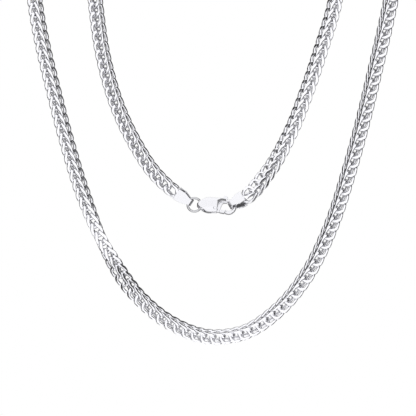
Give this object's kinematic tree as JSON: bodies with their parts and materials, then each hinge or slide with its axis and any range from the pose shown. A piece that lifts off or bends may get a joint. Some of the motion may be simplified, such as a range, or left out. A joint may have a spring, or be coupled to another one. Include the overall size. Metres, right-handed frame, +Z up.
{
  "type": "franco chain necklace",
  "caption": "Square interlocked franco chain with folded end caps, jump ring and lobster clasp, hanging doubled over two pegs.",
  "frame": {"origin": "halfway between the two places where the chain rests on its pegs, on the underside of the chain", "axes": "+X to the viewer's right, +Y away from the viewer and across the chain's plane, +Z up"},
  "size_m": [0.0973, 0.0042, 0.116],
  "materials": {
    "links": "polished silver links, bright faces and dark gaps",
    "caps": "polished silver strip with soft edges",
    "ring": "polished silver wire",
    "clasp": "polished cast silver with soft edges",
    "lever": "polished stamped silver"
  },
  "bodies": {
    "root": {"chain_left": "links", "chain_right": "links", "end_cap_left": "caps", "end_cap_right": "caps", "jump_ring": "ring", "clasp_body": "clasp", "lever_pin": "clasp"},
    "lever": {"clasp_lever": "lever"}
  },
  "joints": [
    {"name": "lever_open", "type": "hinge", "parent": "root", "child": "lever", "pos_m": [-0.00025, -0.00041, -0.07862], "axis": [0, -0.9272, 0.3746], "range_deg": [0, 35], "stiffness_Nm_per_rad": 0.004, "springref_deg": -20.05}
  ]
}
